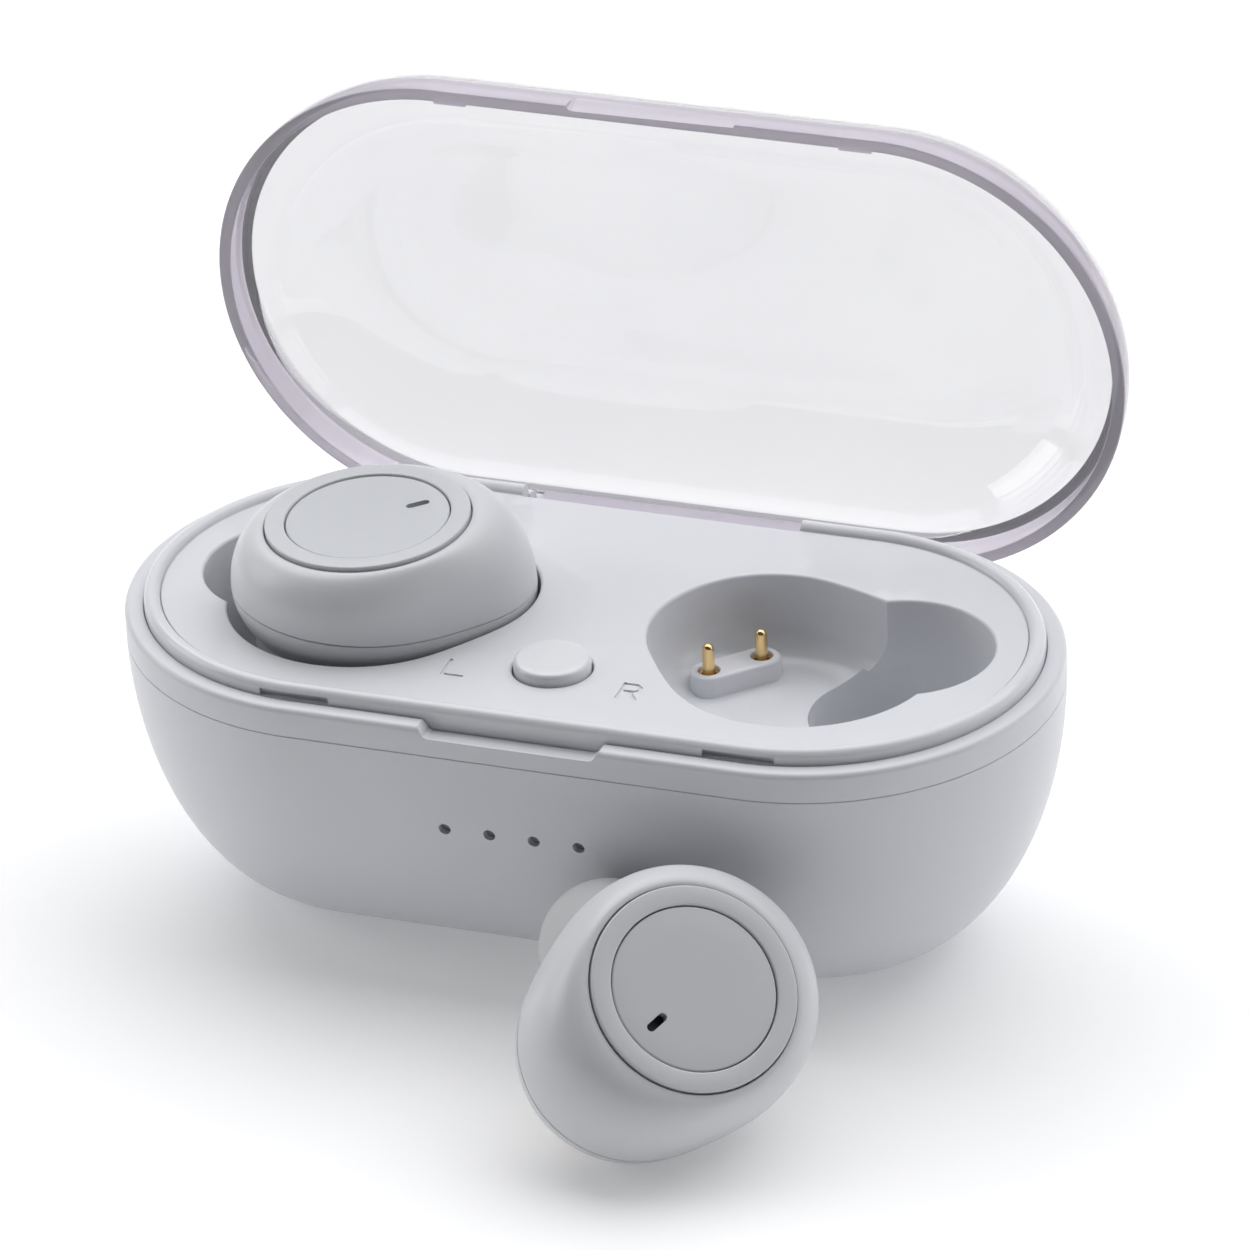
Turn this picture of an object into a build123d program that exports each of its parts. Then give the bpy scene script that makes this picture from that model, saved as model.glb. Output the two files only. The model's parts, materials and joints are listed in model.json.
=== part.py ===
"""Wireless earbuds case: a bowl-shaped charging case with a clear hinged lid and two earbuds.

Millimetres, +Z up, +X to the right, +Y to the hinge side. The origin is the centre of the case's
flat underside. The lid stands open, the left earbud sits in its pocket, and the right earbud lies
on the table in front of the case.
"""
import os
from math import acos, asin, cos, degrees, radians, sin, sqrt

from build123d import *

os.makedirs("parts", exist_ok=True)

# ---------------------------------------------------------------- driving dimensions: the case
CASE_LENGTH = 78.4
CASE_DEPTH = 40.7
END_RADIUS = CASE_DEPTH / 2
END_X = CASE_LENGTH / 2 - END_RADIUS  # centre of each round end
LEDGE_Z = 25.4  # top of the bowl, where the closed lid rests
BELLY_Z = 23.5  # the bowl is widest from here up
CURL = 13.5  # how far the bowl curls in under its belly
SHELL_WALL = 1.8
MOUTH_RADIUS = 18.8  # inside of the bowl's mouth, as an offset from the centre line
SEAT_Z = 20.8  # step in the bowl that carries the tray's skirt
SEAM_Z = 22.9  # fine moulding line around the bowl

LIP_OUTER = MOUTH_RADIUS - 0.05
LIP_INNER = LIP_OUTER - 1.4
LIP_TOP_Z = 26.6
DECK_Z = 26.05
DECK_THICKNESS = 1.45
SKIRT_THICKNESS = 1.2

# ---------------------------------------------------------------- pockets (right; left mirrors it)
POCKET_BIG = (18.71, -2.64)
POCKET_BIG_RADIUS = 11.1
POCKET_SMALL = (14.66, 0.52)
POCKET_SMALL_RADIUS = 9.55
POCKET_FLOOR_Z = 18.85
LOBE_CENTRE = (25.96, 0.99)
LOBE_RADIUS = 7.6
LOBE_FLOOR_Z = 12.6
TROUGH_CENTRE = (24.4, 1.9)  # where the lobe runs on under the main pocket
TROUGH_RADIUS = 6.5
POCKET_WALL = 1.2
POCKET_ROUND = 4.0
PEDESTAL_TOP_Z = 20.6
PEDESTAL_RADIUS = 1.55
PIN_PITCH = 4.8
PIN_CENTRE = (10.67, 4.25)
PIN_ROW_ANGLE = 45.0

# ---------------------------------------------------------------- hinge and lid
HINGE_Y = 18.7
HINGE_Z = 22.6
LID_OPEN = 86.0  # degrees from closed to the open stop
BARREL_RADIUS = 1.6
PIN_RADIUS = 0.75
ARM_HALF = 11.75  # half the width of the lid's hinge arm
GAP_HALF = 12.0  # half the width of the gap that the arm swings in
EAR_LENGTH = 2.4
LID_RIM_Z = LEDGE_Z + 0.1
LID_HEIGHT = 10.9
LID_CURL = 12.0
LID_WALL = 1.05
LID_BAND = 2.8  # height of the thin straight band inside the rim

# ---------------------------------------------------------------- button, lights, charging inlet
BUTTON_Y = -9.4
BUTTON_RADIUS = 3.15
BUTTON_TOP_Z = DECK_Z + 0.95
LIGHT_Z = 15.9
LIGHT_PITCH = 3.78
LIGHT_CENTRE_X = -0.35
LIGHT_RADIUS = 0.5
NOTCH_TOP_HALF = 7.5
NOTCH_FLOOR_HALF = 6.8
CATCH_INNER_X = 15.75
CATCH_OUTER_X = 21.65
BOARD_Z = 14.5  # underside of the main board
BOARD_THICKNESS = 0.8
INLET_Z = BOARD_Z + BOARD_THICKNESS + 1.65

# ---------------------------------------------------------------- earbud, in its own frame
# origin at the centre of the round face, w (Z) out of the face, u (X) towards the narrow end
RING_RADIUS = 8.5
DISC_RADIUS = 6.7
BIG_U = -0.95
BIG_RADIUS = 10.75
SMALL_U = 4.0
SMALL_RADIUS = 9.25
FACE_EDGE_W = -0.35
PARTING_W = -6.4
PARTING_TILT = 7.3
LOWER_DEPTH = 6.0
BUD_WALL = 1.0
TIP_U, TIP_V, TIP_W = -3.4, -7.75, -14.6  # centre of the ear tip (right earbud)
NOZZLE_LEAN = 38.0  # angle of the nozzle from straight down
PAD_POINTS = ((9.46, 1.88), (8.95, -2.88))
PAD_W = -11.95

# where each earbud is: the left one seated, the right one leaning on the table
SEAT_CENTRE = (18.1, -2.2, 33.6)
SEAT_TURN = 142.0
SEAT_PITCH = 3.2
LOOSE_CENTRE = (20.28, -35.09, 14.46)
LOOSE_TURN = -43.5
LOOSE_LEAN = 44.6
LOOSE_SPIN = -67.2


# ---------------------------------------------------------------- shared shapes
def polar(radius, angle):
    return radius * cos(radians(angle)), radius * sin(radians(angle))


def stadium_solid(profile):
    """Sweep a half profile, drawn in X (offset from the centre line) and Z, around the stadium."""
    right = Pos(END_X, 0, 0) * revolve(Rot(Z=-90) * profile, Axis.Z, 180)
    left = Pos(-END_X, 0, 0) * revolve(Rot(Z=90) * profile, Axis.Z, 180)
    front = extrude(Pos(-END_X, 0, 0) * Rot(Z=-90) * profile, amount=2 * END_X, dir=(1, 0, 0))
    back = extrude(Pos(-END_X, 0, 0) * Rot(Z=90) * profile, amount=2 * END_X, dir=(1, 0, 0))
    return right + left + front + back


def half_profile(*edges):
    """A face in the XZ plane from edges given in that plane."""
    return Plane.XZ * make_face(Wire(list(edges)))


def stadium_band(inner, outer, low, high):
    """A ring of stadium plan between two offsets from the centre line."""
    length = 2 * (END_X + outer)
    band = SlotOverall(length, 2 * outer)
    if inner:
        band -= SlotOverall(2 * (END_X + inner), 2 * inner)
    return Pos(0, 0, low) * extrude(band, amount=high - low)


def box_between(x0, x1, y0, y1, z0, z1):
    size = (x1 - x0, y1 - y0, z1 - z0)
    middle = ((x0 + x1) / 2, (y0 + y1) / 2, (z0 + z1) / 2)
    return Pos(*middle) * Box(*size)


def rod(x, y, low, high, radius):
    return Pos(x, y, (low + high) / 2) * Cylinder(radius, high - low)


def rod_x(y, z, x0, x1, radius):
    return Pos((x0 + x1) / 2, y, z) * Rot(Y=90) * Cylinder(radius, x1 - x0)


def egg_wire(u1, r1, u2, r2):
    """Outline around two circles on the X axis: two arcs joined by their common tangents."""
    angle = degrees(acos((r1 - r2) / (u2 - u1)))
    x1, y1 = polar(r1, angle)
    x2, y2 = polar(r2, angle)
    return Wire(
        [
            ThreePointArc((u1 + x1, y1), (u1 - r1, 0), (u1 + x1, -y1)),
            Line((u1 + x1, -y1), (u2 + x2, -y2)),
            ThreePointArc((u2 + x2, -y2), (u2 + r2, 0), (u2 + x2, y2)),
            Line((u2 + x2, y2), (u1 + x1, y1)),
        ]
    )


def mirrored(part):
    return mirror(part, Plane.YZ)


def both_sides(part):
    return part + mirrored(part)


# ---------------------------------------------------------------- the bowl
def bowl_profile(wall, top):
    """Half section of the bowl, drawn in X and Z, thinned all round by wall."""
    foot = END_RADIUS - CURL
    low = wall
    centre = (foot, BELLY_Z)
    curve = EllipticalCenterArc(centre, CURL - wall, BELLY_Z - wall, start_angle=270)
    return half_profile(
        Line((0, top), (0, low)),
        Line((0, low), (foot, low)),
        curve,
        Line((END_RADIUS - wall, BELLY_Z), (END_RADIUS - wall, top)),
        Line((END_RADIUS - wall, top), (0, top)),
    )


def outer_radius(z, wall=0.0):
    """Offset of the bowl's surface from the centre line at height z."""
    rise = (BELLY_Z - min(z, BELLY_Z)) / (BELLY_Z - wall)
    return END_RADIUS - CURL + (CURL - wall) * sqrt(1 - rise * rise)


def make_case_shell():
    outer = stadium_solid(bowl_profile(0.0, LEDGE_Z))
    rim = [e for e in outer.edges() if abs(e.center().Z - LEDGE_Z) < 1e-3 and e.length > 5]
    outer = fillet(ShapeList(rim), 0.45)
    cavity = stadium_solid(bowl_profile(SHELL_WALL, LEDGE_Z + 1))
    shell = outer - cavity - stadium_band(0, MOUTH_RADIUS, SEAT_Z, LEDGE_Z + 1)
    # hinge trough: a floor and an inner wall, open to the back
    trough_back = MOUTH_RADIUS + 0.6
    block = box_between(-GAP_HALF - EAR_LENGTH, GAP_HALF + EAR_LENGTH, 15.95, trough_back, 19.5, 24.5)
    shell += block
    shell -= box_between(-GAP_HALF, GAP_HALF, 16.95, END_RADIUS + 2, HINGE_Z - BARREL_RADIUS - 0.12, 40)
    shell -= rod_x(HINGE_Y, HINGE_Z, -GAP_HALF - EAR_LENGTH - 0.1, GAP_HALF + EAR_LENGTH + 0.1, PIN_RADIUS + 0.02)
    # ease the back of the ledge so that the lid's rim can turn past it
    ease = box_between(-27.5, 27.5, 19.2, END_RADIUS + 2, 24.8, LEDGE_Z + 1)
    shell -= ease - rod_x(HINGE_Y, HINGE_Z, -30, 30, 2.83)
    # thumb notch in the front of the ledge, its floor sloping outwards
    notch = Polyline(
        (-NOTCH_TOP_HALF, LEDGE_Z + 1),
        (-NOTCH_TOP_HALF, LEDGE_Z),
        (-NOTCH_FLOOR_HALF, LEDGE_Z - 0.85),
        (NOTCH_FLOOR_HALF, LEDGE_Z - 0.85),
        (NOTCH_TOP_HALF, LEDGE_Z),
        (NOTCH_TOP_HALF, LEDGE_Z + 1),
        close=True,
    )
    cutter = Pos(0, -MOUTH_RADIUS + 0.2, 0) * extrude(Plane.XZ * make_face(notch), amount=4)
    shell -= cutter
    # openings: four light holes in front and the charging inlet at the back
    for x in light_positions():
        shell -= Pos(x, -END_RADIUS, LIGHT_Z) * Rot(X=90) * Cylinder(LIGHT_RADIUS, 12)
    inlet = extrude(Plane.XZ * SlotOverall(9.5, 3.6), amount=8, both=True)
    shell -= Pos(0, END_RADIUS, INLET_Z) * inlet
    # four bosses for the main board
    for x in (-12.0, 12.0):
        for y in (-12.8, 12.8):
            shell += rod(x, y, 4.4, BOARD_Z, 1.9)
            shell -= rod(x, y, BOARD_Z - 5.5, BOARD_Z + 1, 0.75)
    # fine moulding line
    shell -= stadium_band(END_RADIUS - 0.08, END_RADIUS + 1, SEAM_Z - 0.07, SEAM_Z + 0.07)
    return shell


def light_positions():
    return [LIGHT_CENTRE_X + LIGHT_PITCH * (n - 1.5) for n in range(4)]


# ---------------------------------------------------------------- the tray
def pocket_solid(grow, floor, lobe_floor, top, rounding):
    """The right pocket's space, or with grow above 0 the outside of its wall."""
    dx = POCKET_SMALL[0] - POCKET_BIG[0]
    dy = POCKET_SMALL[1] - POCKET_BIG[1]
    length = sqrt(dx * dx + dy * dy)
    turn = degrees(acos(dx / length))
    outline = make_face(egg_wire(0, POCKET_BIG_RADIUS + grow, length, POCKET_SMALL_RADIUS + grow))
    bowl = extrude(outline, amount=top - floor)
    bowl = fillet(bowl.edges().group_by(Axis.Z)[0], rounding)
    bowl = Pos(POCKET_BIG[0], POCKET_BIG[1], floor) * Rot(Z=turn) * bowl
    lobe = rounded_well(LOBE_CENTRE, LOBE_RADIUS + grow, lobe_floor, top, rounding)
    trough = rounded_well(TROUGH_CENTRE, TROUGH_RADIUS + grow, lobe_floor, floor + 1.0, rounding)
    return bowl + lobe + trough


def rounded_well(centre, radius, low, high, rounding):
    well = rod(centre[0], centre[1], low, high, radius)
    return fillet(well.edges().group_by(Axis.Z)[0], rounding)


def pin_positions():
    """Centres of the right pocket's two charging pins."""
    dx, dy = polar(PIN_PITCH / 2, PIN_ROW_ANGLE)
    x, y = PIN_CENTRE
    return [(x - dx, y - dy), (x + dx, y + dy)]


def make_pedestal():
    block = extrude(SlotCenterToCenter(PIN_PITCH, 2 * PEDESTAL_RADIUS), amount=PEDESTAL_TOP_Z - 18.0)
    block = fillet(block.edges().group_by(Axis.Z)[-1], 0.3)
    return Pos(PIN_CENTRE[0], PIN_CENTRE[1], 18.0) * Rot(Z=PIN_ROW_ANGLE) * block


def lip_profile():
    round_radius = (LIP_OUTER - LIP_INNER) / 2
    spring = LIP_TOP_Z - round_radius
    return half_profile(
        Line((LIP_INNER, DECK_Z - DECK_THICKNESS), (LIP_INNER, spring)),
        ThreePointArc((LIP_INNER, spring), (LIP_INNER + round_radius, LIP_TOP_Z), (LIP_OUTER, spring)),
        Line((LIP_OUTER, spring), (LIP_OUTER, DECK_Z - DECK_THICKNESS)),
        Line((LIP_OUTER, DECK_Z - DECK_THICKNESS), (LIP_INNER, DECK_Z - DECK_THICKNESS)),
    )


def letter_strokes():
    """Side letters beside the button, cut into the deck: L for the left pocket, R for the right."""
    width, depth = 0.3, 0.18
    z = DECK_Z - depth / 2
    cut = Part()
    left = ((-8.3, -10.3, -8.3, -12.6), (-8.3, -12.6, -6.6, -12.6))
    right = (
        (6.5, -10.3, 6.5, -12.6),
        (6.5, -10.3, 7.6, -10.3),
        (7.9, -10.6, 7.9, -11.2),
        (6.5, -11.5, 7.6, -11.5),
        (7.2, -11.5, 8.1, -12.6),
        (7.6, -10.3, 7.9, -10.6),
        (7.6, -11.5, 7.9, -11.2),
    )
    for x0, y0, x1, y1 in left + right:
        length = sqrt((x1 - x0) ** 2 + (y1 - y0) ** 2)
        turn = degrees(asin((y1 - y0) / length))
        bar = SlotCenterToCenter(length, width)
        cut += Pos((x0 + x1) / 2, (y0 + y1) / 2, z - depth) * Rot(Z=turn) * extrude(bar, amount=3 * depth)
    return cut


def make_inner_tray():
    deck = stadium_band(0, LIP_INNER + 0.3, DECK_Z - DECK_THICKNESS, DECK_Z)
    skirt = stadium_band(LIP_OUTER - SKIRT_THICKNESS, LIP_OUTER, SEAT_Z + 0.05, DECK_Z - 0.3)
    tray = deck + stadium_solid(lip_profile()) + skirt
    walls = pocket_solid(
        POCKET_WALL,
        POCKET_FLOOR_Z - POCKET_WALL,
        LOBE_FLOOR_Z - POCKET_WALL,
        DECK_Z - 0.5,
        POCKET_ROUND + POCKET_WALL,
    )
    tray += both_sides(walls)
    space = pocket_solid(0.0, POCKET_FLOOR_Z, LOBE_FLOOR_Z, DECK_Z + 2, POCKET_ROUND)
    tray -= both_sides(space)
    tray += both_sides(make_pedestal())
    for x, y in pin_positions():
        for side in (-1, 1):
            tray -= rod(side * x, y, 10, 30, 0.92)
    # room for the hinge trough and the swinging arm
    tray -= box_between(-GAP_HALF - 0.1, GAP_HALF + 0.1, 17.15, 30, 10, 40)
    ear_end = GAP_HALF + EAR_LENGTH + 0.1
    tray -= box_between(-ear_end, ear_end, 15.85, 30, 10, DECK_Z - DECK_THICKNESS + 0.05)
    # catch windows at the foot of the front lip
    for side in (-1, 1):
        x0, x1 = sorted((side * CATCH_INNER_X, side * CATCH_OUTER_X))
        tray -= box_between(x0, x1, -22, -LIP_OUTER + 0.55, LEDGE_Z, LEDGE_Z + 0.65)
    tray -= rod(0, BUTTON_Y, 10, 30, BUTTON_RADIUS + 0.15)
    tray -= letter_strokes()
    return tray


# ---------------------------------------------------------------- the lid, modelled closed
def lid_profile(inset, top_inset, rim):
    foot = END_RADIUS - LID_CURL
    height = LID_HEIGHT - top_inset
    width = LID_CURL - inset
    base = LID_RIM_Z
    curve = EllipticalCenterArc((foot, base), width, height)
    return half_profile(
        Line((0, base + height), (0, rim)),
        Line((0, rim), (foot + width, rim)),
        *([Line((foot + width, rim), (foot + width, base))] if rim < base else []),
        curve,
        Line((foot, base + height), (0, base + height)),
    )


def make_lid_closed():
    lid = stadium_solid(lid_profile(0.02, 0.0, LID_RIM_Z))
    lid -= stadium_solid(lid_profile(1.4, 1.3, LID_RIM_Z - 1))
    lid -= stadium_band(0, END_RADIUS - 0.02 - LID_WALL, LID_RIM_Z - 1, LID_RIM_Z + LID_BAND)
    # hinge arm and barrel
    arm_front = HINGE_Y - 1.35
    arm = box_between(-ARM_HALF, ARM_HALF, arm_front, HINGE_Y + BARREL_RADIUS, HINGE_Z, LID_RIM_Z + 0.2)
    root = box_between(-ARM_HALF, ARM_HALF, arm_front, END_RADIUS, LID_RIM_Z, LID_RIM_Z + LID_BAND)
    lid += arm + (root & stadium_solid(lid_profile(0.02, 0.0, LID_RIM_Z)))
    lid += rod_x(HINGE_Y, HINGE_Z, -ARM_HALF, ARM_HALF, BARREL_RADIUS)
    lid -= rod_x(HINGE_Y, HINGE_Z, -ARM_HALF - 1, ARM_HALF + 1, PIN_RADIUS + 0.05)
    # front catches over the tray's windows, and low locating pads around the rest of the rim
    inner = END_RADIUS - 0.02 - LID_WALL
    for side in (-1, 1):
        x0, x1 = sorted((side * (CATCH_INNER_X + 0.2), side * (END_X - 0.1)))
        lid += box_between(x0, x1, -inner - 0.1, -inner + 0.2, LEDGE_Z + 0.15, LEDGE_Z + 0.6)
    # thumb scoop in the outside of the front wall
    scoop = Pos(0, -END_RADIUS - 4.55, LID_RIM_Z) * Rot(Y=90) * Cylinder(5.0, 2 * NOTCH_FLOOR_HALF)
    ends = [
        Pos(side * NOTCH_FLOOR_HALF, -END_RADIUS - 4.55, LID_RIM_Z) * Sphere(5.0) for side in (-1, 1)
    ]
    return lid - scoop - ends[0] - ends[1]


def opened(part):
    """Swing a part that is modelled closed up to the open stop."""
    axis = Axis((0, HINGE_Y, HINGE_Z), (1, 0, 0))
    return part.rotate(axis, -LID_OPEN)


# ---------------------------------------------------------------- the case's small parts
def make_hinge_pin():
    half = GAP_HALF + EAR_LENGTH - 0.2
    return rod_x(HINGE_Y, HINGE_Z, -half, half, PIN_RADIUS)


def make_case_button():
    cap = rod(0, BUTTON_Y, DECK_Z - DECK_THICKNESS - 0.2, BUTTON_TOP_Z, BUTTON_RADIUS)
    cap = chamfer(cap.edges().group_by(Axis.Z)[-1], 0.3, 0.45)
    flange = rod(0, BUTTON_Y, DECK_Z - DECK_THICKNESS - 0.85, DECK_Z - DECK_THICKNESS - 0.1, 4.0)
    stem = rod(0, BUTTON_Y, 19.3, DECK_Z - DECK_THICKNESS, 1.2)
    return cap + flange + stem


def make_button_switch():
    base = box_between(-2.6, 2.6, BUTTON_Y - 2.6, BUTTON_Y + 2.6, BOARD_Z + 0.8, BOARD_Z + 3.2)
    return base + rod(0, BUTTON_Y, BOARD_Z + 3.0, 18.8, 1.5)


def make_main_board():
    board = box_between(-16.0, 16.0, -15.2, 15.2, BOARD_Z, BOARD_Z + BOARD_THICKNESS)
    board = fillet(board.edges().filter_by(Axis.Z), 2.0)
    for x in (-12.0, 12.0):
        for y in (-12.8, 12.8):
            board -= rod(x, y, BOARD_Z - 1, BOARD_Z + 2, 1.0)
    return board


def make_board_screws():
    screws = Part()
    for x in (-12.0, 12.0):
        for y in (-12.8, 12.8):
            head = rod(x, y, BOARD_Z + BOARD_THICKNESS, BOARD_Z + BOARD_THICKNESS + 1.0, 1.6)
            slot = box_between(x - 1.2, x + 1.2, y - 0.2, y + 0.2, BOARD_Z + 1.4, BOARD_Z + 3)
            screws += head - slot + rod(x, y, BOARD_Z - 5.0, BOARD_Z + BOARD_THICKNESS, 0.72)
    return screws


def make_battery_cell():
    cell = box_between(-17.0, 17.0, -9.6, 9.6, 3.3, 9.3)
    return fillet(cell.edges().filter_by(Axis.X), 1.2)


def make_battery_pad():
    return box_between(-14.0, 14.0, -6.3, 6.3, SHELL_WALL, 3.3)


def make_battery_leads():
    leads = Part()
    for x in (-3.0, 3.0):
        leads += rod(x, 0, 9.3, BOARD_Z, 0.55)
    return leads


def make_charge_socket():
    outline = extrude(Plane.XZ * SlotOverall(8.9, 3.2), amount=3.6, both=True)
    hollow = extrude(Plane.XZ * SlotOverall(8.3, 2.6), amount=3.3, both=True)
    tongue = Box(6.6, 6.2, 0.7)
    middle_y = outer_radius(INLET_Z) - 0.3 - 3.6
    return Pos(0, middle_y, INLET_Z) * (outline - Pos(0, 0.35, 0) * hollow + tongue)


def make_status_lights():
    lights = Part()
    for x in light_positions():
        lights += box_between(x - 0.8, x + 0.8, -15.0, -14.0, BOARD_Z + 0.8, BOARD_Z + 2.0)
    return lights


def make_light_guide():
    xs = light_positions()
    bar = box_between(xs[0] - 1.0, xs[-1] + 1.0, -16.6, -15.05, BOARD_Z + 0.85, BOARD_Z + 1.95)
    reach = outer_radius(LIGHT_Z) - 0.7
    for x in xs:
        rod_y = Pos(x, -(reach + 16.4) / 2, LIGHT_Z) * Rot(X=90) * Cylinder(LIGHT_RADIUS - 0.05, reach - 16.4)
        bar += rod_y
    return bar


def make_contact_boards():
    x, y = PIN_CENTRE
    plate = Pos(x, y, 16.4) * Rot(Z=PIN_ROW_ANGLE) * Box(PIN_PITCH + 3.6, 3.4, 0.7)
    return both_sides(plate)


def make_contact_headers():
    """Short posts that join each contact board to the main board."""
    posts = Part()
    for x, y in pin_positions():
        posts += rod(x, y, BOARD_Z + BOARD_THICKNESS, 16.05, 0.35)
    return both_sides(posts)


def make_pogo_barrels():
    barrels = Part()
    for x, y in pin_positions():
        barrels += rod(x, y, 16.75, PEDESTAL_TOP_Z - 0.3, 0.87) - rod(x, y, 17.0, 30, 0.55)
    return both_sides(barrels)


def make_pogo_plunger(x, y, tip_z):
    """A pin with a round tip. It slides in its barrel."""
    radius = 0.5
    body = rod(x, y, tip_z - 4.2, tip_z - radius, radius)
    return body + Pos(x, y, tip_z - radius) * Sphere(radius)


def make_pogo_springs():
    """Plain coils shown at their pressed length, in the foot of each barrel."""
    springs = Part()
    for x, y in pin_positions():
        springs += rod(x, y, 17.0, 17.4, 0.5) - rod(x, y, 16.9, 17.8, 0.3)
    return both_sides(springs)


def make_tray_magnets():
    magnets = rod(19.0, -7.5, 16.05, POCKET_FLOOR_Z - POCKET_WALL, 2.0)
    return both_sides(magnets)


# ---------------------------------------------------------------- earbud, right hand, own frame
def section_plane(w, tilt):
    return Plane(origin=(0, 0, w), x_dir=(cos(radians(tilt)), 0, -sin(radians(tilt))),
                 z_dir=(sin(radians(tilt)), 0, cos(radians(tilt))))


def blend(a, b, share):
    return a + (b - a) * share


def upper_body(inset, drop):
    """From the round face down and out to the parting line."""
    wires = []
    for step in range(5):
        angle = 90 * step / 4
        out = sin(radians(angle))
        down = 1 - cos(radians(angle))
        wire = egg_wire(
            blend(0.0, BIG_U, out),
            blend(RING_RADIUS + 0.15, BIG_RADIUS, out) - inset,
            blend(0.05, SMALL_U, out),
            blend(RING_RADIUS + 0.15, SMALL_RADIUS, out) - inset,
        )
        w = blend(FACE_EDGE_W - drop, PARTING_W, down)
        wires.append(section_plane(w, PARTING_TILT * down) * make_face(wire))
    return loft(wires)


def lower_body(inset):
    """From the parting line down and in to the small underside."""
    wires = []
    for step in range(5):
        angle = 80 * step / 4
        out = cos(radians(angle))
        down = sin(radians(angle)) / sin(radians(80))
        wire = egg_wire(
            blend(-1.2, BIG_U, out),
            blend(3.0, BIG_RADIUS, out) - inset,
            blend(2.6, SMALL_U, out),
            blend(2.2, SMALL_RADIUS, out) - inset,
        )
        w = PARTING_W - (LOWER_DEPTH - inset) * down
        wires.append(section_plane(w, PARTING_TILT) * make_face(wire))
    return loft(wires)


def nozzle_plane():
    """Origin at the ear tip's centre, Z along the nozzle, out of the ear bud."""
    distance = sqrt(TIP_U**2 + TIP_V**2)
    lean = radians(NOZZLE_LEAN)
    axis = (TIP_U / distance * sin(lean), TIP_V / distance * sin(lean), -cos(lean))
    across = (TIP_V / distance, -TIP_U / distance, 0)
    return Plane(origin=(TIP_U, TIP_V, TIP_W), x_dir=across, z_dir=axis)


def revolved(points):
    """A solid of revolution about Z from (radius, height) points."""
    return revolve(Plane.XZ * make_face(Polyline(*points, close=True)), Axis.Z)


def on_nozzle(part):
    return nozzle_plane().location * part


def make_outer_housing():
    shell = upper_body(0.0, 0.0) - upper_body(BUD_WALL, 2.0)
    shell -= rod(0, 0, -1.35, 3, RING_RADIUS + 0.02)
    shell -= rod(0, 0, -6, 3, 1.5)
    shell -= rod(4.6, 0, -6, 3, 0.5)
    return shell


def make_face_ring():
    ring = rod(0, 0, -1.3, 0, RING_RADIUS - 0.1) - rod(0, 0, -2, 1, DISC_RADIUS + 0.1)
    return ring


def make_face_button():
    disc = rod(0, 0, -0.95, -0.12, DISC_RADIUS)
    stem = rod(0, 0, -2.55, -0.9, 1.2)
    slot = Pos(4.3, 0, -2) * extrude(SlotOverall(2.0, 0.7), amount=3)
    return disc + stem - slot


def make_inner_housing():
    nozzle = on_nozzle(revolved([(0, -8.2), (5.0, -8.2), (4.6, -5.4), (2.5, -3.4), (2.2, -2.9), (2.2, 1.6),
                                 (2.6, 1.8), (2.6, 2.4), (2.2, 2.6), (0, 2.6)]))
    bore = on_nozzle(revolved([(0, -9.0), (3.5, -9.0), (3.5, -5.2), (1.5, -3.4), (1.5, 3.0), (0, 3.0)]))
    outside = lower_body(0.0) + nozzle
    housing = outside - lower_body(BUD_WALL) - bore
    keep = section_plane(PARTING_W - 0.02, PARTING_TILT) * Pos(0, 0, -20) * Box(60, 60, 40)
    housing &= keep
    for u, v in PAD_POINTS:
        housing -= rod(u, v, -14, PAD_W + 0.4, 1.22)
        housing -= rod(u, v, -14, -10, 0.72)
    return housing


def make_ear_tip():
    cap = revolved([(2.25, -2.8), (3.1, -2.6), (3.4, 1.2), (4.6, 0.2), (5.1, -1.6), (5.25, -3.6), (5.6, -3.6),
                    (5.7, -1.8), (5.35, 0.6), (4.4, 2.4), (3.2, 3.5), (2.2, 3.8), (1.7, 3.6), (1.7, 2.7),
                    (2.65, 2.65), (2.65, 1.7), (2.25, 1.5)])
    return on_nozzle(cap)


def make_nozzle_mesh():
    return on_nozzle(Pos(0, 0, 2.1) * Cylinder(1.45, 0.2))


def make_driver():
    return on_nozzle(Pos(0, 0, -6.9) * Cylinder(3.3, 2.0))


def make_bud_battery():
    return rod(1.8, 1.9, -9.1, -5.6, 4.5)


def make_bud_board():
    return rod(0, 0, -5.2, -4.4, 6.8)


def make_bud_switch():
    return box_between(-1.6, 1.6, -1.6, 1.6, -4.4, -3.3) + rod(0, 0, -3.4, -2.95, 0.8)


def make_microphone():
    return box_between(3.3, 5.9, -0.9, 0.9, -4.4, -3.5)


def make_charge_pads():
    pads = Part()
    for u, v in PAD_POINTS:
        pads += rod(u, v, PAD_W, PAD_W + 0.4, 1.2) + rod(u, v, PAD_W, PAD_W + 1.4, 0.7)
    return pads


def make_bud_magnet():
    return rod(2.8, 2.9, -11.2, -9.5, 1.5)


BUD_PARTS = {
    "outer_housing": make_outer_housing,
    "face_ring": make_face_ring,
    "face_button": make_face_button,
    "inner_housing": make_inner_housing,
    "ear_tip": make_ear_tip,
    "nozzle_mesh": make_nozzle_mesh,
    "driver": make_driver,
    "battery": make_bud_battery,
    "board": make_bud_board,
    "switch": make_bud_switch,
    "microphone": make_microphone,
    "charge_pads": make_charge_pads,
    "magnet": make_bud_magnet,
}


def seated(part):
    """Put a right-hand earbud part into the right pocket."""
    return Pos(*SEAT_CENTRE) * Rot(Z=SEAT_TURN) * Rot(Y=-SEAT_PITCH) * part


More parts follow.
